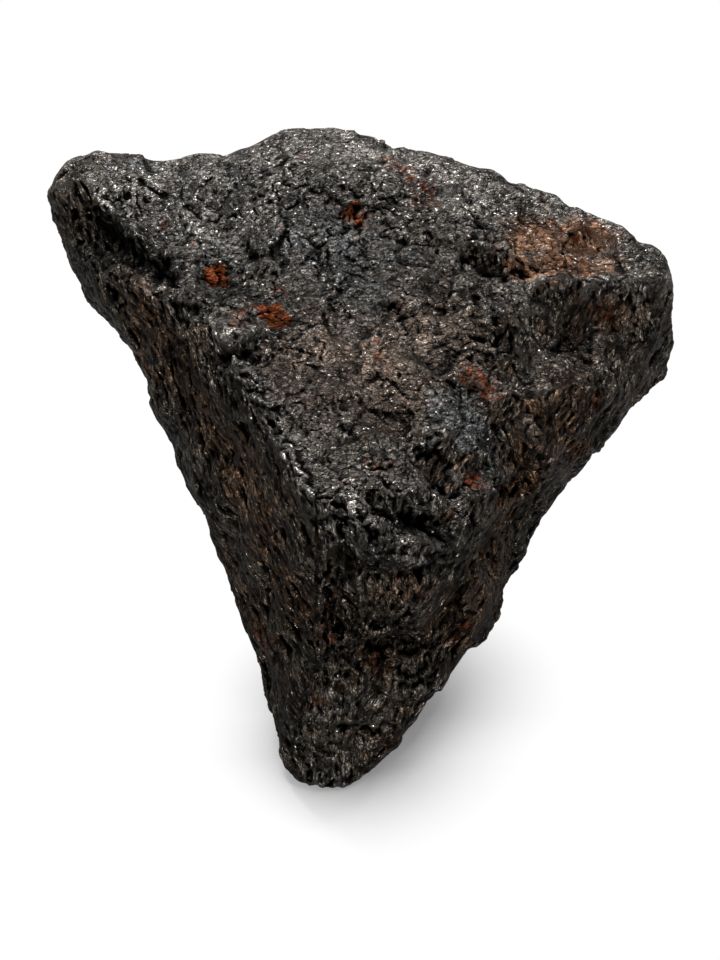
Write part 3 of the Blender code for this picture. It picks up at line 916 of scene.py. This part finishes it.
def meteoriteIron():
    material = bpy.data.materials.new("meteoriteIron")
    material.use_nodes = True
    tree = material.node_tree
    tree.nodes.clear()
    wires = Wires(tree)
    patch = patchGroup()
    place = wires.add("ShaderNodeTexCoord").outputs["Object"]
    grainPlace = wires.add("ShaderNodeAttribute", attribute_name="grainPlace").outputs["Vector"]
    grain = wires.group(hackleGroup(), Place=grainPlace, Size=iron["grainSize"])
    wall = wires.value("wall")
    calm = wires.value("calm")
    crevice = wires.value("crevice")
    broad, small, middling = (wires.speckle(place, *look) for look in noises.values())

    def limited(value, name):
        return wires.span(value, *limits[name])

    def patched(kind, mask):
        return wires.group(patch, Mask=mask, Place=place, **patches[kind])[0]

    browned = patched("brown", wires.value("brown"))
    blued = patched("blue", wires.value("blue"))
    bareAndHighlit = patched("bare", wires.value("bare"))
    dusted = patched("dust", wires.value("dust"))
    scattered = wires.times(limited(broad, "scatteredRust"), shares["scatteredRust"])
    rusted = patched("rust", wires.most(wires.value("rust"), scattered))
    clean = wires.outside(rusted)
    # painted shade along with some darker metal, kept off the rust
    shadedAndDark = wires.times(patched("soot", wires.value("soot")), clean)

    # the pale tone of the plates: the top's, then the walls', then bare metal along with painted
    # highlights, dust and rust
    brownWall = wires.most(browned, wires.times(limited(broad, "wallBrown"), shares["wallBrown"]))
    wallTone = wires.blend(brownWall, iron["olive"], iron["wallBrown"])
    rustLight = wires.times(limited(middling, "brightRust"), limited(wall, "rustOnWall"))
    rustTone = wires.blend(rustLight, iron["rustDeep"], iron["rustBright"])
    dustTone = wires.blend(limited(middling, "brightDust"), iron["dustDeep"], iron["dustBright"])
    pale = iron["pale"]
    pale = wires.blend(wires.times(browned, shares["brown"]), pale, iron["brown"])
    pale = wires.blend(wires.times(blued, shares["blue"]), pale, iron["blue"])
    pale = wires.blend(wires.times(wall, shares["wall"]), pale, wallTone)
    pale = wires.blend(wires.times(bareAndHighlit, shares["bare"]), pale, iron["bare"])
    pale = wires.blend(wires.times(dusted, shares["dust"]), pale, dustTone)
    pale = wires.blend(rusted, pale, rustTone)

    # plates from dark to pale, more even on walls, dust and calm metal, with raised grain and crests
    # lightened, part wear and part painted highlight
    deep = wires.blend(rusted, iron["dark"], iron["rustDeep"])
    even = wires.most(wires.times(wall, shares["evenWall"]), wires.times(dusted, shares["evenDust"]))
    even = wires.most(even, wires.times(calm, shares["evenCalm"]))
    colour = wires.blend(wires.mix(even, grain["Tone"], shares["evenTone"]), deep, pale)
    colour = wires.blend(wires.times(limited(crevice, "worn"), shares["worn"]), colour, pale)
    edge = wires.times(limited(wires.value("convex"), "edge"), limited(middling, "edgeBreaks"))
    colour = wires.blend(wires.times(edge, shares["edge"]), colour, iron["bare"])

    # painted shade in crevices, hollows, cracks and pinholes, and where the dark tint adds it to some
    # darker metal, the net of the walls darker in its grooves, and uneven patches
    pitted = wires.times(grain["Pinhole"], limited(wall, "pinholeOnWall"))
    netWall = wires.times(wall, limited(bareAndHighlit, "netOnBareAndHighlight"))
    netted = wires.mix(netWall, 1.0, limited(wires.value("strands"), "net"))
    patchy = wires.times(limited(broad, "broadPatches"), limited(small, "smallPatches"))
    shade = wires.times(
        limited(crevice, "creviceShade"),
        limited(wires.value("hollow"), "hollowShade"),
        limited(grain["Crack"], "crackShade"),
        limited(shadedAndDark, "shadeAndDarkDepth"),
        limited(pitted, "pinholeShade"),
        netted,
        patchy,
    )
    colour = wires.blend(1.0, colour, shade, "MULTIPLY")

    # painted glints: bright rims and specks put into the colour
    paintedShine = wires.times(
        limited(crevice, "glintHeight"),
        wires.times(grain["Glint"], limited(wall, "glintOnWall")),
        limited(clean, "glintOffRust"),
        limited(bareAndHighlit, "glintOnBareAndHighlight"),
    )
    colour = wires.blend(paintedShine, colour, iron["paintedGlint"])

    surface = wires.add("ShaderNodeBsdfPrincipled")
    output = wires.add("ShaderNodeOutputMaterial")
    wires.join(surface.outputs[0], output.inputs["Surface"])
    wires.join(colour, surface.inputs["Base Color"])
    metal = wires.times(clean, wires.span(dusted, 0.0, 1.0, iron["metal"], iron["metalInDust"]))
    wires.join(metal, surface.inputs["Metallic"])
    surface.inputs["Specular IOR Level"].default_value = 0.0
    rough = wires.maths("ADD", limited(grain["Tone"], "gloss"), wires.times(rusted, iron["rustRoughness"]))
    wires.join(rough, surface.inputs["Roughness"])
    grained = wires.add("ShaderNodeBump")
    grained.inputs["Distance"].default_value = iron["grainHeight"]
    grained.inputs["Strength"].default_value = 1.0
    wires.join(wires.times(grain["Height"], limited(calm, "calmGrain")), grained.inputs["Height"])
    wires.join(grained.outputs[0], surface.inputs["Normal"])
    return material


# stage

stageLook = {
    "floorWidth": 6.0,
    "floorTone": 0.30,       # the floor by the foot, where the soft shadow shows
    "floorGlow": 1.02,       # the over-exposed floor further out
    "toe": (0.0, -27.0),     # the shadow is kept around the line from the toe to under the nose
    "nose": (4.0, -20.0),
    "shadowStart": 2.0,      # millimetres from that line
    "shadowEnd": 24.0,
    "floorBounce": 0.08,     # how much of the floor's light comes back to the lump
    "worldLight": 0.32,
    "lampAim": (0.0, 0.0, 25.0),
}

# Places and sizes are in millimetres.
lights = {
    "overhead": {"place": (45.0, 170.0, 470.0), "size": 440.0, "watts": 10.0},
    "key": {"place": (-120.0, 240.0, 330.0), "size": 90.0, "watts": 2.2},
    "glintRight": {"place": (260.0, 200.0, 300.0), "size": 34.0, "watts": 0.6},
    "front": {"place": (-10.0, -370.0, 120.0), "size": 150.0, "watts": 2.9},
}


def pointAt(thing, target):
    thing.rotation_euler = (target - thing.location).to_track_quat("-Z", "Y").to_euler()


def addLights():
    for name, light in lights.items():
        lamp = bpy.data.lights.new(name, "AREA")
        lamp.shape = "DISK"
        lamp.size = light["size"] * mm
        lamp.energy = light["watts"]
        thing = bpy.data.objects.new(name, lamp)
        bpy.context.scene.collection.objects.link(thing)
        thing.location = inMm(light["place"])
        pointAt(thing, inMm(stageLook["lampAim"]))


def addWorld():
    world = bpy.data.worlds.new("studio")
    world.use_nodes = True
    sky = world.node_tree.nodes["Background"]
    sky.inputs["Color"].default_value = (1.0, 1.0, 1.0, 1.0)
    sky.inputs["Strength"].default_value = stageLook["worldLight"]
    bpy.context.scene.world = world


def paleFloor():
    # a grey floor that takes the shadow near the toe, and glows white further out
    material = bpy.data.materials.new("paleFloor")
    material.use_nodes = True
    tree = material.node_tree
    tree.nodes.clear()
    wires = Wires(tree)
    seen = wires.add("ShaderNodeLightPath").outputs["Is Camera Ray"]
    tone = wires.span(seen, 0.0, 1.0, stageLook["floorBounce"], stageLook["floorTone"])
    surface = wires.add("ShaderNodeBsdfDiffuse")
    wires.join(tone, surface.inputs["Color"])
    glow = wires.add("ShaderNodeEmission")
    glow.inputs["Strength"].default_value = stageLook["floorGlow"]
    ground = wires.add("ShaderNodeTexCoord").outputs["Object"]
    split = wires.add("ShaderNodeSeparateXYZ")
    wires.join(ground, split.inputs[0])
    toeX, toeY = inMm((*stageLook["toe"], 0.0))[:2]
    noseX, noseY = inMm((*stageLook["nose"], 0.0))[:2]
    nearY = wires.most(wires.maths("MINIMUM", split.outputs["Y"], noseY), toeY)
    nearest = wires.add("ShaderNodeCombineXYZ")
    wires.join(wires.span(nearY, toeY, noseY, toeX, noseX), nearest.inputs["X"])
    wires.join(nearY, nearest.inputs["Y"])
    away = wires.vector("DISTANCE", ground, nearest.outputs[0])
    start, end = stageLook["shadowStart"] * mm, stageLook["shadowEnd"] * mm
    far = wires.span(away, start, end, kind="SMOOTHSTEP")
    both = wires.add("ShaderNodeMixShader")
    wires.join(wires.times(far, seen), both.inputs[0])
    wires.join(surface.outputs[0], both.inputs[1])
    wires.join(glow.outputs[0], both.inputs[2])
    output = wires.add("ShaderNodeOutputMaterial")
    wires.join(both.outputs[0], output.inputs["Surface"])
    return material


def addFloor():
    place = (0.0, 0.0, cadBox[0][2])
    bpy.ops.mesh.primitive_plane_add(size=stageLook["floorWidth"], location=place)
    floor = bpy.context.object
    floor.name = "floor"
    floor.data.materials.append(paleFloor())


def build():
    bpy.context.scene.view_settings.view_transform = "Standard"
    bpy.context.scene.view_settings.look = "None"
    addCamera()
    addWorld()
    addLights()
    addFloor()
    print("stage: camera,", len(lights), "lights and floor")
    lump = buildSkin()
    lump.data.materials.clear()
    lump.data.materials.append(meteoriteIron())
    print("material: meteoriteIron")
    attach(lump, "root")
    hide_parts("meteorite")


build()
